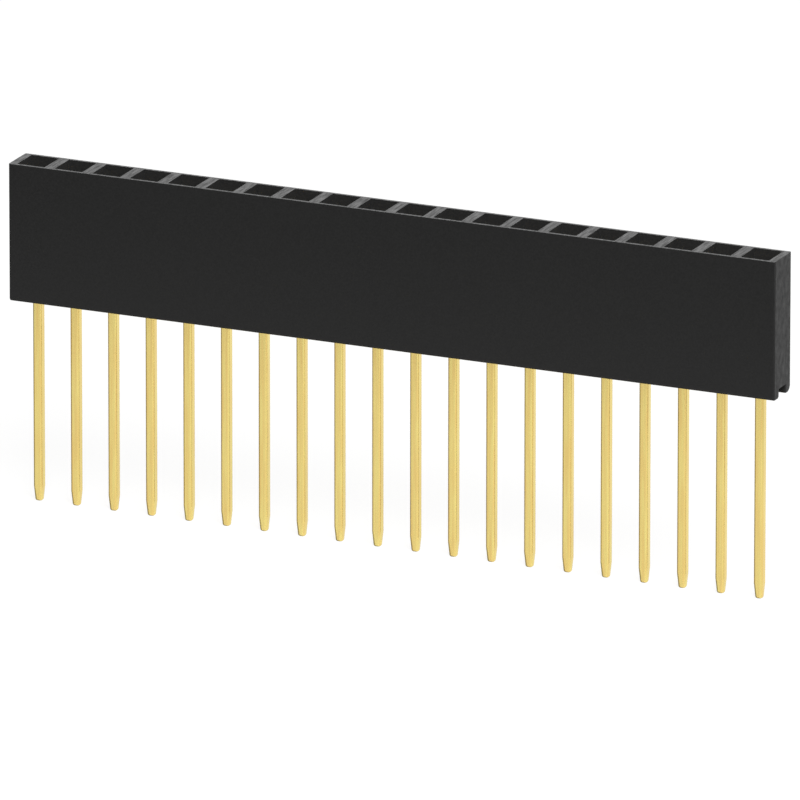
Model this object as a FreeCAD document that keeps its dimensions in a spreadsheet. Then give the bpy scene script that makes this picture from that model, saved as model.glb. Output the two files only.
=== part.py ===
# Socket header with long tails: one moulded strip of wells and a row of separate gold contacts.
# X runs along the row, Y runs across it and Z points up, out of the mouths of the wells.
# The origin lies on the plane of the feet, at the middle of the strip.

import FreeCAD, Part
import math
import os
import Sketcher

near = 1e-4

# Driving sizes in millimetres: name, value, what it measures
size_list = [
    ("positions", 20, "wells in the row, each with one contact"),
    ("pitch", 2.54, "distance between neighbouring contacts"),
    ("end_margin", 0.15, "plastic past the last pitch at each end"),
    ("body_width", 2.5, "strip across the row"),
    ("body_height", 8.8, "feet to the mouths of the wells"),
    ("partition", 0.68, "wall between two wells"),
    ("side_wall", 0.2, "long outer wall beside the wells"),
    ("floor_thickness", 1.1, "plastic under each well"),
    ("channel_width", 1.0, "groove along the underside"),
    ("channel_depth", 0.6, "height of the feet beside the groove"),
    ("foot_front_round", 0.2, "rounding of the front foot, outer side"),
    ("foot_back_round", 0.45, "rounding of the back foot, outer side"),
    ("foot_inner_round", 0.2, "rounding of both feet, groove side"),
    ("corner_round", 0.1, "upright corners of the strip"),
    ("fit_gap", 0.02, "drawn gap between a contact and the plastic that grips it"),
    ("tail_side", 0.6, "square tail, across the flats"),
    ("tail_edge_round", 0.15, "long edges of the tail"),
    ("tail_length", 13.0, "tail below the plane of the feet"),
    ("tip_length", 0.95, "tapered end of the tail"),
    ("tip_side", 0.47, "square at the end of the taper"),
    ("tip_edge_round", 0.2, "edges at the end of the taper"),
    ("nose_round", 0.13, "rounding of the very end"),
    ("web_thickness", 0.3, "plate of the contact that sits on the floor of the well"),
    ("grip_height", 1.1, "upright cheeks of the contact above its plate"),
    ("cheek_gap", 0.1, "air between a cheek and the partition"),
    ("leaf_thickness", 0.2, "cheeks and spring leaves"),
    ("leaf_width", 1.3, "spring leaves across the row"),
    ("mating_gap", 0.66, "space between the leaves where the pin is held"),
    ("mating_depth", 1.9, "pinch point below the mouth of the well"),
    ("lip_gap", 0.13, "air between a flared leaf end and the partition"),
    ("lip_depth", 0.9, "ends of the leaves below the mouth of the well"),
    ("leaf_bend_round", 0.8, "inside radius of a leaf's bend at the pinch point"),
]

# Places and sizes that follow from the driving ones, as expressions of the sheet
body_length = "(sizes.positions * sizes.pitch + 2 * sizes.end_margin)"
first_place = "(-sizes.pitch * (sizes.positions - 1) / 2)"
row_span = "(sizes.pitch * (sizes.positions - 1))"
well_length = "(sizes.pitch - sizes.partition)"
well_width = "(sizes.body_width - 2 * sizes.side_wall)"
well_floor = "(sizes.channel_depth + sizes.floor_thickness)"
foot_width = "((sizes.body_width - sizes.channel_width) / 2)"
front_round = f"(min(sizes.foot_front_round; 0.6 * {foot_width}))"
back_round = f"(min(sizes.foot_back_round; 0.6 * {foot_width}))"
inner_round = f"(min(sizes.foot_inner_round; 0.35 * {foot_width}))"
hole_side = "(sizes.tail_side + 2 * sizes.fit_gap)"
hole_round = "(sizes.tail_edge_round + sizes.fit_gap)"
shaft_end = "(-sizes.tail_length + sizes.tip_length)"
tip_round = "(min(sizes.tip_edge_round; 0.45 * sizes.tip_side))"
nose_radius = f"(min(sizes.nose_round; 0.92 * {tip_round}))"
web_top = f"({well_floor} + sizes.web_thickness)"
cheek_top = f"({web_top} + sizes.grip_height)"
cheek_outside = f"({well_length} / 2 - sizes.cheek_gap)"
cheek_inside = f"({cheek_outside} - sizes.leaf_thickness)"
mating_inside = "(sizes.mating_gap / 2)"
mating_outside = f"({mating_inside} + sizes.leaf_thickness)"
mating_level = "(sizes.body_height - sizes.mating_depth)"
lip_outside = f"({well_length} / 2 - sizes.lip_gap)"
lip_inside = f"({lip_outside} - sizes.leaf_thickness)"
lip_level = "(sizes.body_height - sizes.lip_depth)"

doc = FreeCAD.newDocument("SocketHeader")
sheet = doc.addObject("Spreadsheet::Sheet", "sizes")
for row, (alias, amount, meaning) in enumerate(size_list, start=1):
    sheet.set(f"A{row}", alias)
    sheet.set(f"B{row}", str(amount))
    sheet.set(f"C{row}", meaning)
    sheet.setAlias(f"B{row}", alias)
doc.recompute()


def value(expression):
    """Number that an expression of the sheet gives now."""
    return float(sheet.evalExpression(expression))


def origin_plane(body, role):
    """One of the body's own base planes."""
    return next(item for item in body.Origin.OriginFeatures if item.Role == role)


def new_sketch(body, name, role, level=None, along=None):
    """Empty sketch on a base plane, lifted by level and moved by along."""
    sketch = body.newObject("Sketcher::SketchObject", name)
    sketch.AttachmentSupport = (origin_plane(body, role), "")
    sketch.MapMode = "FlatFace"
    if level:
        sketch.setExpression(".AttachmentOffset.Base.z", level)
    if along:
        sketch.setExpression(".AttachmentOffset.Base.x", along)
    return sketch


def tie(sketch, kind, geometry, vertex, expression):
    """Distance of one sketch point from the origin, bound to the sheet."""
    constraint = sketch.addConstraint(
        Sketcher.Constraint(kind, geometry, vertex, value(expression))
    )
    sketch.setExpression(f"Constraints[{constraint}]", expression)


def draw_outline(sketch, corners):
    """Closed outline of straight lines, each corner bound to the sheet."""
    points = [FreeCAD.Vector(value(x), value(y), 0) for x, y in corners]
    count = len(points)
    for index in range(count):
        sketch.addGeometry(Part.LineSegment(points[index], points[(index + 1) % count]))
    for index, (x, y) in enumerate(corners):
        sketch.addConstraint(Sketcher.Constraint("Coincident", index, 2, (index + 1) % count, 1))
        tie(sketch, "DistanceX", index, 1, x)
        tie(sketch, "DistanceY", index, 1, y)


def draw_rectangle(sketch, width, height):
    """Rectangle centred on the sketch's own origin."""
    left = f"(-{width} / 2)"
    right = f"({width} / 2)"
    low = f"(-{height} / 2)"
    high = f"({height} / 2)"
    draw_outline(sketch, [(left, low), (right, low), (right, high), (left, high)])


def draw_rounded_square(sketch, side, radius):
    """Centred square with equal round corners, four lines and four arcs."""
    half = value(side) / 2
    bend = value(radius)
    flat = half - bend
    quarter = math.pi / 2
    for index in range(4):
        turn = FreeCAD.Rotation(FreeCAD.Vector(0, 0, 1), 90 * index)
        start = turn.multVec(FreeCAD.Vector(-flat, -half, 0))
        end = turn.multVec(FreeCAD.Vector(flat, -half, 0))
        centre = turn.multVec(FreeCAD.Vector(flat, -flat, 0))
        circle = Part.Circle(centre, FreeCAD.Vector(0, 0, 1), bend)
        sketch.addGeometry(Part.LineSegment(start, end))
        sketch.addGeometry(Part.ArcOfCircle(circle, (index - 1) * quarter, index * quarter))
    for index in range(4):
        line = 2 * index
        arc = line + 1
        sketch.addConstraint(Sketcher.Constraint("Tangent", line, 2, arc, 1))
        sketch.addConstraint(Sketcher.Constraint("Tangent", arc, 2, (line + 2) % 8, 1))
        direction = "Vertical" if index % 2 else "Horizontal"
        sketch.addConstraint(Sketcher.Constraint(direction, line))
    for arc in (3, 5, 7):
        sketch.addConstraint(Sketcher.Constraint("Equal", 1, arc))
    bound = sketch.addConstraint(Sketcher.Constraint("Radius", 1, bend))
    sketch.setExpression(f"Constraints[{bound}]", radius)
    tie(sketch, "DistanceY", 0, 1, f"(-{side} / 2)")
    tie(sketch, "DistanceX", 2, 1, f"({side} / 2)")
    tie(sketch, "DistanceY", 4, 1, f"({side} / 2)")
    tie(sketch, "DistanceX", 6, 1, f"(-{side} / 2)")


def extrude(body, kind, name, sketch, length, both_ways=False):
    """Pad or pocket of a sketch, as deep as length or through everything."""
    feature = body.newObject(f"PartDesign::{kind}", name)
    feature.Profile = sketch
    if length:
        feature.setExpression("Length", length)
    else:
        feature.Type = "ThroughAll"
    feature.Midplane = both_ways
    return feature


def edges_where(shape, test):
    """Names of the edges whose middle point and direction pass the test."""
    names = []
    for number, edge in enumerate(shape.Edges, start=1):
        middle = edge.valueAt((edge.FirstParameter + edge.LastParameter) / 2)
        direction = edge.tangentAt(edge.FirstParameter)
        if test(middle, direction):
            names.append(f"Edge{number}")
    return names


def round_edges(body, name, test, radius):
    """Fillet over the edges of the body's last feature that pass the test."""
    doc.recompute()
    base = body.Tip
    fillet = body.newObject("PartDesign::Fillet", name)
    fillet.Base = (base, edges_where(base.Shape, test))
    fillet.setExpression("Radius", radius)


def repeat_along_row(body, name, feature):
    """Copies of a feature, one for each position of the row."""
    pattern = body.newObject("PartDesign::LinearPattern", name)
    pattern.Originals = [feature]
    pattern.Direction = (origin_plane(body, "X_Axis"), [""])
    pattern.setExpression("Length", row_span)
    pattern.setExpression("Occurrences", "sizes.positions")
    body.Tip = pattern


def make_housing():
    """Black strip: a block with wells from above and a groove with feet below."""
    body = doc.addObject("PartDesign::Body", "housing")
    block = new_sketch(body, "block_outline", "XY_Plane")
    draw_rectangle(block, body_length, "sizes.body_width")
    extrude(body, "Pad", "block", block, "sizes.body_height")

    groove = new_sketch(body, "groove_outline", "YZ_Plane")
    draw_rectangle(groove, "sizes.channel_width", "(2 * sizes.channel_depth)")
    extrude(body, "Pocket", "groove", groove, None, both_ways=True)

    outer_side = value("sizes.body_width") / 2
    groove_side = value("sizes.channel_width") / 2
    end = value(body_length) / 2

    def on_foot(*sides):
        return lambda middle, direction: (
            abs(middle.z) < near
            and any(abs(middle.y - side) < near for side in sides)
            and abs(direction.x) > 1 - near
        )

    round_edges(body, "front_foot_round", on_foot(-outer_side), front_round)
    round_edges(body, "back_foot_round", on_foot(outer_side), back_round)
    round_edges(body, "foot_inner_rounds", on_foot(-groove_side, groove_side), inner_round)
    round_edges(
        body,
        "corner_rounds",
        lambda middle, direction: (
            abs(abs(middle.x) - end) < near
            and abs(abs(middle.y) - outer_side) < near
            and abs(direction.z) > 1 - near
        ),
        "sizes.corner_round",
    )

    well = new_sketch(body, "well_outline", "XY_Plane", "sizes.body_height", first_place)
    draw_rectangle(well, well_length, well_width)
    well_cut = extrude(body, "Pocket", "well", well, f"(sizes.body_height - {well_floor})")
    repeat_along_row(body, "wells", well_cut)

    hole = new_sketch(body, "tail_hole_outline", "XY_Plane", well_floor, first_place)
    draw_rounded_square(hole, hole_side, hole_round)
    hole_cut = extrude(body, "Pocket", "tail_hole", hole, "sizes.floor_thickness")
    repeat_along_row(body, "tail_holes", hole_cut)
    return body


def contact_body(index):
    """Empty body for one contact, set at its own well."""
    body = doc.addObject("PartDesign::Body", f"contact_{index + 1:02d}")
    body.setExpression(".Placement.Base.x", f"({first_place} + {index} * sizes.pitch)")
    return body


def make_contact():
    """First gold contact: square tail, seated plate with cheeks, and two spring leaves."""
    body = contact_body(0)
    shaft = new_sketch(body, "shaft_section", "XY_Plane", shaft_end)
    draw_rounded_square(shaft, "sizes.tail_side", "sizes.tail_edge_round")
    extrude(body, "Pad", "shaft", shaft, f"({web_top} - {shaft_end})")

    tip_root = new_sketch(body, "tip_root", "XY_Plane", shaft_end)
    draw_rounded_square(tip_root, "sizes.tail_side", "sizes.tail_edge_round")
    tip_end = new_sketch(body, "tip_end", "XY_Plane", "(-sizes.tail_length)")
    draw_rounded_square(tip_end, "sizes.tip_side", tip_round)
    tip = body.newObject("PartDesign::AdditiveLoft", "tip")
    tip.Profile = tip_root
    tip.Sections = [tip_end]
    tip.Ruled = True

    nose = -value("sizes.tail_length")
    round_edges(
        body,
        "nose",
        lambda middle, direction: abs(middle.z - nose) < near and abs(direction.z) < near,
        nose_radius,
    )

    cradle = new_sketch(body, "cradle_outline", "XZ_Plane")
    draw_outline(
        cradle,
        [
            (f"(-{cheek_outside})", well_floor),
            (cheek_outside, well_floor),
            (cheek_outside, cheek_top),
            (cheek_inside, cheek_top),
            (cheek_inside, web_top),
            (f"(-{cheek_inside})", web_top),
            (f"(-{cheek_inside})", cheek_top),
            (f"(-{cheek_outside})", cheek_top),
        ],
    )
    extrude(body, "Pad", "cradle", cradle, f"({well_width} - 2 * sizes.fit_gap)", both_ways=True)

    leaf = new_sketch(body, "leaf_outline", "XZ_Plane")
    draw_outline(
        leaf,
        [
            (cheek_outside, cheek_top),
            (mating_outside, mating_level),
            (lip_outside, lip_level),
            (lip_inside, lip_level),
            (mating_inside, mating_level),
            (cheek_inside, cheek_top),
        ],
    )
    leaf_pad = extrude(body, "Pad", "leaf", leaf, "sizes.leaf_width", both_ways=True)
    twin = body.newObject("PartDesign::Mirrored", "twin_leaf")
    twin.Originals = [leaf_pad]
    twin.MirrorPlane = (origin_plane(body, "YZ_Plane"), [""])
    body.Tip = twin

    level = value(mating_level)

    def on_bend(side):
        return lambda middle, direction: (
            abs(middle.z - level) < near and abs(abs(middle.x) - side) < near and abs(direction.y) > 1 - near
        )

    round_edges(body, "outer_bends", on_bend(value(mating_outside)), "sizes.leaf_bend_round")
    round_edges(
        body,
        "inner_bends",
        on_bend(value(mating_inside)),
        "(sizes.leaf_bend_round + sizes.leaf_thickness)",
    )
    return body


def repeat_contact(first, index):
    """Another contact of the same form as the first one, in its own well."""
    body = contact_body(index)
    form = body.newObject("PartDesign::FeatureBase", "form")
    form.BaseFeature = first.Tip
    body.Tip = form
    return body


housing = make_housing()
first_contact = make_contact()
contact_count = int(value("sizes.positions"))
pieces = [housing, first_contact]
pieces += [repeat_contact(first_contact, index) for index in range(1, contact_count)]
doc.recompute()

for item in doc.Objects:
    if {"Invalid", "Error"} & set(item.State):
        raise RuntimeError(f"{item.Label} failed: {item.State}")
for piece in pieces:
    if piece.Shape.isNull() or not piece.Shape.isValid() or len(piece.Shape.Solids) != 1:
        raise RuntimeError(f"{piece.Label} is not one sound solid")

os.makedirs("parts", exist_ok=True)
for piece in pieces:
    piece.Shape.exportStep(f"parts/{piece.Label}.step")
    box = piece.Shape.optimalBoundingBox(True, False)
    print(
        f"{piece.Label}: {piece.Shape.Volume:.3f} mm3, x {box.XMin:.2f} to {box.XMax:.2f}, "
        f"y {box.YMin:.2f} to {box.YMax:.2f}, z {box.ZMin:.2f} to {box.ZMax:.2f}"
    )
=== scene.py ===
# Socket header: a black moulded strip of wells with gold-plated contacts, on its tails on a white sweep.

import math

import bmesh
import bpy
from mathutils import Matrix, Vector


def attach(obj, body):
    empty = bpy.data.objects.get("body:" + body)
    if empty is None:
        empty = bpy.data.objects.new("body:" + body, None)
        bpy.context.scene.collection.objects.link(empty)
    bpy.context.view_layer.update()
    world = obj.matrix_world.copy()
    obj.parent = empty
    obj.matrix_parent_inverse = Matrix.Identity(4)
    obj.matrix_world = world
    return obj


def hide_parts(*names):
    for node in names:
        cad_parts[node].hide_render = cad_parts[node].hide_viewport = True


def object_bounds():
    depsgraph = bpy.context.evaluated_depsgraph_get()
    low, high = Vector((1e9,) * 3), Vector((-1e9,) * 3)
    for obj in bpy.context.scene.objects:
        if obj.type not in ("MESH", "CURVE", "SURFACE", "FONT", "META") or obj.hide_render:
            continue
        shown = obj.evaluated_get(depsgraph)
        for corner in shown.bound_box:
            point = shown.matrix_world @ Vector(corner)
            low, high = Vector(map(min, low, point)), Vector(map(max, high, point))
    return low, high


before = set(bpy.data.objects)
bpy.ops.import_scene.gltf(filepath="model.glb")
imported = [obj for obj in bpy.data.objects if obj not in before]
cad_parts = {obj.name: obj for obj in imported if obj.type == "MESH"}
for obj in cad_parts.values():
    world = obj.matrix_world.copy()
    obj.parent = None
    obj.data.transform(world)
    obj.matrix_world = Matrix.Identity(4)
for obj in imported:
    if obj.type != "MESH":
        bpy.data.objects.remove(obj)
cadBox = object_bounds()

mm = 0.001
scene = bpy.context.scene
contactNames = sorted(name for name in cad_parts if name.startswith("contact_"))


def linearColour(hexCode):
    # an sRGB hex value as the linear colour that a shader socket takes
    channels = [int(hexCode[i:i + 2], 16) / 255 for i in (1, 3, 5)]
    return [c / 12.92 if c <= 0.04045 else ((c + 0.055) / 1.055) ** 2.4 for c in channels] + [1.0]


def addNode(tree, kind, settings=None, inputs=None):
    # settings are the node's own options; an input is a value, or the output socket that feeds it
    node = tree.nodes.new(kind)
    for name, setting in (settings or {}).items():
        setattr(node, name, setting)
    for name, given in (inputs or {}).items():
        if isinstance(given, bpy.types.NodeSocket):
            tree.links.new(given, node.inputs[name])
        else:
            node.inputs[name].default_value = given
    return node


def newMaterial(name):
    material = bpy.data.materials.new(name)
    material.use_nodes = True
    material.node_tree.nodes.clear()
    return material, material.node_tree


def ramp(tree, value, stretch, colours):
    # a ramp between two colours over a stretch of the value
    node = addNode(tree, "ShaderNodeValToRGB", inputs={"Fac": value})
    stops = node.color_ramp.elements
    stops[0].position, stops[1].position = stretch
    stops[0].color, stops[1].color = [linearColour(code) for code in colours]
    return node.outputs["Color"]


def noise(tree, place, grainSize, detail):
    # soft noise whose spots are about grainSize mm across
    return addNode(
        tree, "ShaderNodeTexNoise",
        inputs={"Vector": place, "Scale": 1 / (grainSize * mm), "Detail": detail, "Roughness": 0.5},
    ).outputs["Fac"]


def stretchedNoise(tree, place, sizes):
    # noise whose spots are so many mm long along x, y and z
    stretched = addNode(tree, "ShaderNodeMapping", inputs={
        "Vector": place, "Scale": [1 / (size * mm) for size in sizes]
    }).outputs["Vector"]
    return addNode(
        tree, "ShaderNodeTexNoise", inputs={"Vector": stretched, "Scale": 1.0, "Detail": 2.0}
    ).outputs["Fac"]


def spread(tree, value, low, high):
    # noise lies mostly between 0.3 and 0.7: that stretch becomes low to high
    return addNode(
        tree, "ShaderNodeMapRange",
        inputs={"Value": value, "From Min": 0.3, "From Max": 0.7, "To Min": low, "To Max": high},
    ).outputs["Result"]


def maths(tree, operation, *values):
    return addNode(
        tree, "ShaderNodeMath", {"operation": operation}, dict(enumerate(values))
    ).outputs[0]


# Strip: black glass-filled polyester, moulded in a spark-eroded tool
stripLook = {
    "edgeRound": 0.03,         # mm, what the tool leaves on an outer edge
    "edgeSegments": 3,
    "edgeAngle": 35,           # degrees, an edge sharper than this is rounded
    "mergeGap": 0.001,         # mm, corners of triangles closer than this are one
    "flatAngle": 1.5,          # degrees, faces closer than this are one face
    "flatShare": 0.9995,       # a face whose normal has this much of one axis is shaded flat
    "colours": ("#1c1c1c", "#202020"),
    "tintStretch": (0.35, 0.65),       # part of the noise over which the colour changes
    "roughness": (0.30, 0.39),
    "grain": 0.11,             # mm, coarser than the real 0.04 mm so that it shows
    "grainDetail": 3.0,
    "grainDepth": 0.004,       # mm
    "endRoughness": (0.06, 0.26),      # added on the end faces, where the strip was parted
    "endSpot": (0.36, 0.36, 0.5),      # mm, cloudy spots on the end faces
    "topRoughness": (-0.13, 0.18),     # added on the tops of the partitions
    "topLine": (0.13, 1.1, 1.0),       # mm, lines of the finish across the tops
    "grooveRoughness": 0.5,    # added in the groove between the feet
    "groove": (1.04, 0.62),    # mm, its width and depth with a little over
    "wells": ((0, 25.4), (0, 1.06), (4.9, 3.85)),   # mm, middle and half size of the space of all wells
    "wellPaintedLight": 0.55,         # share added to the colour there: painted light, the inner walls of the wells drawn paler as if more light reached them
    "ior": 1.5,
    "specular": 0.25,
}


def buildStrip(look):
    # the CAD housing with its loose triangles merged and its sharp edges rounded, worked in millimetres
    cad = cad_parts["housing"]
    shell = bmesh.new()
    shell.from_mesh(cad.data)
    shell.transform(Matrix.Scale(1 / mm, 4))
    bmesh.ops.remove_doubles(shell, verts=shell.verts, dist=look["mergeGap"])
    bmesh.ops.dissolve_limit(
        shell, angle_limit=math.radians(look["flatAngle"]), verts=shell.verts, edges=shell.edges
    )
    sharp = [edge for edge in shell.edges if edge.calc_face_angle(0) > math.radians(look["edgeAngle"])]
    bmesh.ops.bevel(
        shell, geom=sharp, offset=look["edgeRound"], offset_type="OFFSET", segments=look["edgeSegments"],
        profile=0.5, affect="EDGES", material=-1, clamp_overlap=True
    )
    for face in shell.faces:
        face.smooth = max(abs(part) for part in face.normal) < look["flatShare"]
    shell.transform(Matrix.Scale(mm, 4))
    mesh = bpy.data.meshes.new("strip")
    shell.to_mesh(mesh)
    shell.free()
    strip = bpy.data.objects.new("strip", mesh)
    scene.collection.objects.link(strip)
    return strip


def mouldedPlastic(look):
    # black PBT: near-black and satin, its gloss broken by a fine even grain; it goes pale grey at a low angle
    material, tree = newMaterial("black_moulded_pbt")
    place = addNode(tree, "ShaderNodeTexCoord").outputs["Object"]
    grain = noise(tree, place, look["grain"], look["grainDetail"])
    facing = addNode(tree, "ShaderNodeSeparateXYZ", inputs={
        "Vector": addNode(tree, "ShaderNodeTexCoord").outputs["Normal"]
    }).outputs
    at = addNode(tree, "ShaderNodeSeparateXYZ", inputs={"Vector": place}).outputs
    endFace = maths(tree, "ABSOLUTE", facing["X"])
    topFace = maths(tree, "MAXIMUM", facing["Z"], 0.0)
    grooveWidth, grooveDepth = look["groove"]
    inGroove = maths(
        tree, "MULTIPLY", maths(tree, "LESS_THAN", at["Z"], grooveDepth * mm),
        maths(tree, "LESS_THAN", maths(tree, "ABSOLUTE", at["Y"]), grooveWidth / 2 * mm)
    )
    # painted light: inside the wells the colour is made paler, standing in for light that reaches their inner
    # walls
    paintedWellLightMask = 1.0
    for axis, (middle, half) in zip("XYZ", look["wells"]):
        paintedWellLightMask = maths(tree, "MULTIPLY", paintedWellLightMask, maths(tree, "COMPARE", at[axis], middle * mm, half * mm))
    cloud = spread(tree, stretchedNoise(tree, place, look["endSpot"]), *look["endRoughness"])
    lines = spread(tree, stretchedNoise(tree, place, look["topLine"]), *look["topRoughness"])
    roughness = spread(tree, grain, *look["roughness"])
    for share, added in ((endFace, cloud), (topFace, lines), (inGroove, look["grooveRoughness"])):
        roughness = maths(tree, "ADD", roughness, maths(tree, "MULTIPLY", share, added))
    bump = addNode(
        tree, "ShaderNodeBump",
        inputs={"Height": grain, "Strength": 1.0, "Distance": look["grainDepth"] * mm},
    ).outputs["Normal"]
    # the tint follows the grain; inside the wells it is scaled up as painted light
    colour = addNode(tree, "ShaderNodeVectorMath", {"operation": "SCALE"}, {
        0: ramp(tree, grain, look["tintStretch"], look["colours"]),
        "Scale": maths(tree, "MULTIPLY_ADD", paintedWellLightMask, look["wellPaintedLight"], 1.0)
    }).outputs["Vector"]
    shader = addNode(tree, "ShaderNodeBsdfPrincipled", inputs={
        "Base Color": colour, "Roughness": roughness, "Normal": bump, "IOR": look["ior"],
        "Specular IOR Level": look["specular"],
    })
    addNode(tree, "ShaderNodeOutputMaterial", inputs={"Surface": shader.outputs["BSDF"]})
    return material


strip = buildStrip(stripLook)
strip.data.materials.clear()
strip.data.materials.append(mouldedPlastic(stripLook))
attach(strip, "root")
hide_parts("housing")
print("strip:", len(strip.data.polygons), "faces")


# Contacts: drawn copper alloy with a thin gold plating
contactLook = {
    "colours": ("#ebcd7e", "#efdb88"),
    "tintStretch": (0.35, 0.65),       # part of the noise over which the tint changes
    "roughness": (0.15, 0.21),
    "drawLine": (0.035, 0.035, 4.0),   # mm, width and run of the lines that drawing leaves
    "drawDepth": 0.0004,       # mm
    "streak": (0.16, 0.16, 3.5),       # mm, width and run of the slow streaks in the plating's tint
}


def goldPlate(look):
    # gold over drawn wire: warm pale yellow metal, faintly streaked lengthwise, with slow changes of tint
    material, tree = newMaterial("gold_plated_drawn_wire")
    place = addNode(tree, "ShaderNodeTexCoord").outputs["Object"]
    lines = stretchedNoise(tree, place, look["drawLine"])
    streaks = stretchedNoise(tree, place, look["streak"])
    colour = ramp(tree, streaks, look["tintStretch"], look["colours"])
    roughness = spread(tree, lines, *look["roughness"])
    bump = addNode(
        tree, "ShaderNodeBump",
        inputs={"Height": lines, "Strength": 1.0, "Distance": look["drawDepth"] * mm},
    ).outputs["Normal"]
    shader = addNode(tree, "ShaderNodeBsdfPrincipled", inputs={
        "Base Color": colour, "Metallic": 1.0, "Roughness": roughness, "Normal": bump,
    })
    addNode(tree, "ShaderNodeOutputMaterial", inputs={"Surface": shader.outputs["BSDF"]})
    return material


gold = goldPlate(contactLook)
for name in contactNames:
    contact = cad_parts[name]
    contact.data.materials.clear()
    contact.data.materials.append(gold)
print("contacts:", len(contactNames))


# Stage: a white paper sweep; polished faces see the surround in its place, dimmer towards the lens and past
# the near end
stageLook = {
    "floorGap": 0.02,          # mm below the tips of the tails
    "floorReach": 400.0,       # mm
    "floorSides": 96,
    "floorColour": "#f4f4f2",
    "bounceColour": "#7c7c7a",     # what it throws back onto plain surfaces
    "glow": 0.85,              # share of the floor's white that needs no lamp
    "white": 1.06,             # strength of that share, so that the open floor is plain white
    "lensFade": (-51.0, -42.5),    # mm across the row: polished faces see it dark from here on
    "lensShade": 0.1,
    "endFade": (38.0, 56.0),       # mm along the row
    "endShade": 0.8,
}


def buildFloor(look, low):
    floorMesh = bmesh.new()
    bmesh.ops.create_circle(
        floorMesh, cap_ends=True, segments=look["floorSides"], radius=look["floorReach"] * mm
    )
    bmesh.ops.translate(floorMesh, verts=floorMesh.verts, vec=(0, 0, low - look["floorGap"] * mm))
    mesh = bpy.data.meshes.new("floor")
    floorMesh.to_mesh(mesh)
    floorMesh.free()
    floor = bpy.data.objects.new("floor", mesh)
    scene.collection.objects.link(floor)
    return floor


def fade(tree, value, stretch, low, high):
    return addNode(
        tree, "ShaderNodeMapRange", {"interpolation_type": "SMOOTHSTEP"},
        {"Value": value, "From Min": stretch[0], "From Max": stretch[1], "To Min": low, "To Max": high},
    ).outputs["Result"]


def sweepPaper(look):
    # white paper sweep: plain to the lens and to polished faces, keeping a soft part of the shadow
    material, tree = newMaterial("white_paper_sweep")
    rays = addNode(tree, "ShaderNodeLightPath").outputs
    place = addNode(tree, "ShaderNodeSeparateXYZ", inputs={
        "Vector": addNode(tree, "ShaderNodeTexCoord").outputs["Object"]
    }).outputs
    towardsLens = fade(tree, place["Y"], [edge * mm for edge in look["lensFade"]], look["lensShade"], 1.0)
    pastEnd = fade(tree, place["X"], [edge * mm for edge in look["endFade"]], 1.0, look["endShade"])
    glow = addNode(tree, "ShaderNodeEmission", inputs={"Color": (1, 1, 1, 1), "Strength": look["white"]})
    clear = addNode(tree, "ShaderNodeBsdfTransparent", inputs={
        "Color": maths(tree, "MULTIPLY", towardsLens, pastEnd)
    })
    paper = addNode(tree, "ShaderNodeBsdfDiffuse", inputs={
        "Color": ramp(tree, rays["Is Diffuse Ray"], (0.0, 1.0), (look["floorColour"], look["bounceColour"]))
    })
    mirrored = maths(tree, "MAXIMUM", rays["Is Glossy Ray"], rays["Is Transmission Ray"])
    seen = maths(tree, "MAXIMUM", rays["Is Camera Ray"], mirrored)
    bright = addNode(tree, "ShaderNodeMixShader", inputs={
        0: mirrored, 1: glow.outputs["Emission"], 2: clear.outputs["BSDF"]
    })
    mixed = addNode(tree, "ShaderNodeMixShader", inputs={
        0: maths(tree, "MULTIPLY", seen, look["glow"]), 1: paper.outputs["BSDF"], 2: bright.outputs["Shader"]
    })
    addNode(tree, "ShaderNodeOutputMaterial", inputs={"Surface": mixed.outputs["Shader"]})
    return material


floor = buildFloor(stageLook, cadBox[0][2])
floor.data.materials.append(sweepPaper(stageLook))


# Light: a large soft panel above the lens shines into the wells, and the backdrop is bright behind the part
lightLook = {
    "surround": 0.15,          # what the room gives to plain surfaces
    "backTurn": (-0.45, 0.85, 0.3),   # direction of the bright backdrop
    "backFade": (-0.5, 0.5),   # from the lens side to the backdrop
    "backShade": 0.88,         # what polished faces see of it
    "lensShade": 0.15,         # and on the lens side
    "level": (-0.06, 0.0),     # below this the sweep begins
    "sideTurn": (-0.95, 0.3),  # direction of a dark screen beside the part
    "sideFade": (0.25, 0.7),   # how far round it reaches
    "sideShade": 0.26,
    "farFade": (-0.36, 0.1),   # along the row: the sweep is a little darker towards the far end
    "farShade": 0.9,
    "panels": {
        "key_panel": {"at": (250, -277, 373), "size": 384, "watts": 4.74},
        "back_panel": {"at": (-126, 283, 113), "size": 200, "watts": 0.06},
    },
}


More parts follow.
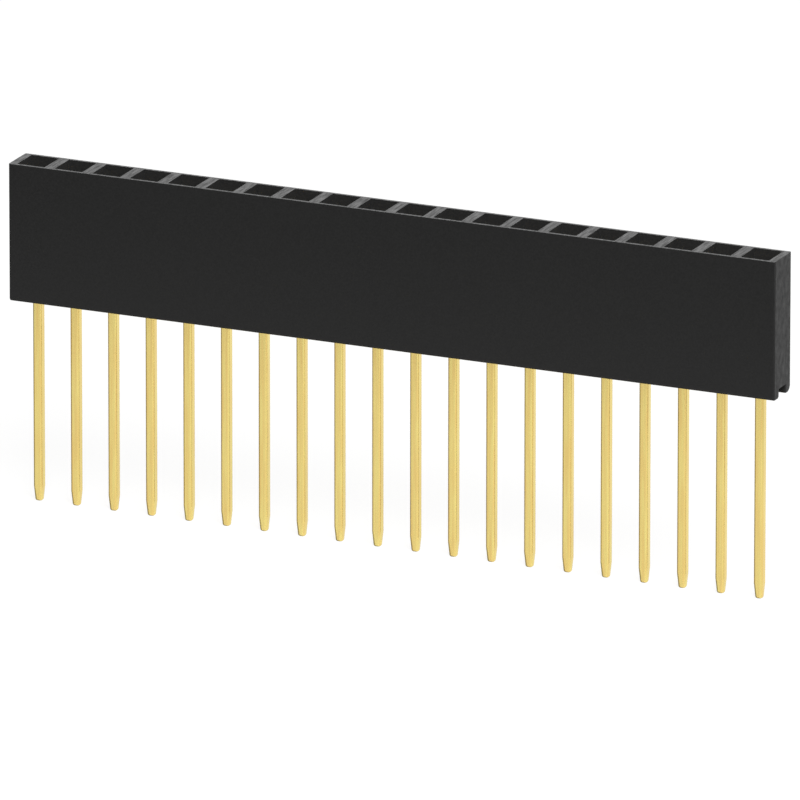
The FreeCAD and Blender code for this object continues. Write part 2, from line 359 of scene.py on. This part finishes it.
def buildSurround(look):
    world = bpy.data.worlds.new("studio_surround")
    world.use_nodes = True
    tree = world.node_tree
    tree.nodes.clear()
    rays = addNode(tree, "ShaderNodeLightPath").outputs
    turn = addNode(tree, "ShaderNodeTexCoord").outputs["Generated"]
    towards = addNode(
        tree, "ShaderNodeVectorMath", {"operation": "DOT_PRODUCT"},
        {0: turn, 1: Vector(look["backTurn"]).normalized()},
    ).outputs["Value"]
    above = fade(tree, towards, look["backFade"], look["lensShade"], look["backShade"])
    place = addNode(tree, "ShaderNodeSeparateXYZ", inputs={"Vector": turn}).outputs
    levelled = addNode(
        tree, "ShaderNodeVectorMath", {"operation": "MULTIPLY"}, {0: turn, 1: (1, 1, 0)}
    ).outputs["Vector"]
    flat = addNode(tree, "ShaderNodeVectorMath", {"operation": "NORMALIZE"}, {0: levelled}).outputs["Vector"]
    aside = addNode(
        tree, "ShaderNodeVectorMath", {"operation": "DOT_PRODUCT"},
        {0: flat, 1: Vector((*look["sideTurn"], 0)).normalized()},
    ).outputs["Value"]
    screen = fade(tree, aside, look["sideFade"], 1.0, look["sideShade"])
    farEnd = fade(tree, place["X"], look["farFade"], look["farShade"], 1.0)
    below = maths(tree, "MULTIPLY", screen, farEnd)
    polished = addNode(
        tree, "ShaderNodeMix", {"data_type": "FLOAT"},
        {"Factor": fade(tree, place["Z"], look["level"], 0.0, 1.0), "A": below, "B": above},
    ).outputs["Result"]
    shaded = addNode(
        tree, "ShaderNodeMix", {"data_type": "FLOAT"},
        {"Factor": rays["Is Glossy Ray"], "A": look["surround"], "B": polished},
    ).outputs["Result"]
    plain = maths(tree, "MAXIMUM", rays["Is Camera Ray"], rays["Is Transmission Ray"])
    surround = addNode(tree, "ShaderNodeBackground", inputs={
        "Color": (1, 1, 1, 1), "Strength": maths(tree, "MAXIMUM", plain, shaded)
    })
    addNode(tree, "ShaderNodeOutputWorld", inputs={"Surface": surround.outputs["Background"]})
    scene.world = world


def addPanel(name, panel):
    lamp = bpy.data.lights.new(name, "AREA")
    lamp.size = panel["size"] * mm
    lamp.energy = panel["watts"]
    holder = bpy.data.objects.new(name, lamp)
    holder.location = Vector(panel["at"]) * mm
    holder.rotation_euler = (-holder.location).to_track_quat("-Z", "Y").to_euler()
    holder.visible_camera = False
    scene.collection.objects.link(holder)


buildSurround(lightLook)
for name, panel in lightLook["panels"].items():
    addPanel(name, panel)
scene.view_settings.view_transform = "Standard"


# Camera: a long lens, as the photo's edges hardly converge
cameraLook = {
    "azimuth": 24.01,          # degrees towards the end of the row at +X
    "elevation": 17.23,
    "roll": 0.05,
    "aim": (0.209, 0.0, -3.4625),  # mm
    "distance": 1200.0,        # mm
    "lens": 883.92,            # mm
    "sensor": 36.0,            # mm
    "clipEnd": 10000.0,        # mm
}


def placeCamera(look):
    turn, lift, roll = (math.radians(look[key]) for key in ("azimuth", "elevation", "roll"))
    back = Vector((math.sin(turn) * math.cos(lift), -math.cos(turn) * math.cos(lift), math.sin(lift)))
    right = Vector((math.cos(turn), math.sin(turn), 0))
    up = back.cross(right)
    rolledRight = right * math.cos(roll) + up * math.sin(roll)
    rolledUp = up * math.cos(roll) - right * math.sin(roll)
    facing = Matrix((rolledRight, rolledUp, back)).transposed().to_4x4()
    lens = bpy.data.cameras.new("camera")
    lens.sensor_width = look["sensor"]
    lens.lens = look["lens"]
    lens.clip_end = look["clipEnd"] * mm
    camera = bpy.data.objects.new("camera", lens)
    camera.matrix_world = Matrix.Translation((Vector(look["aim"]) + back * look["distance"]) * mm) @ facing
    scene.collection.objects.link(camera)
    scene.camera = camera


placeCamera(cameraLook)
print("stage, light and camera are in place")
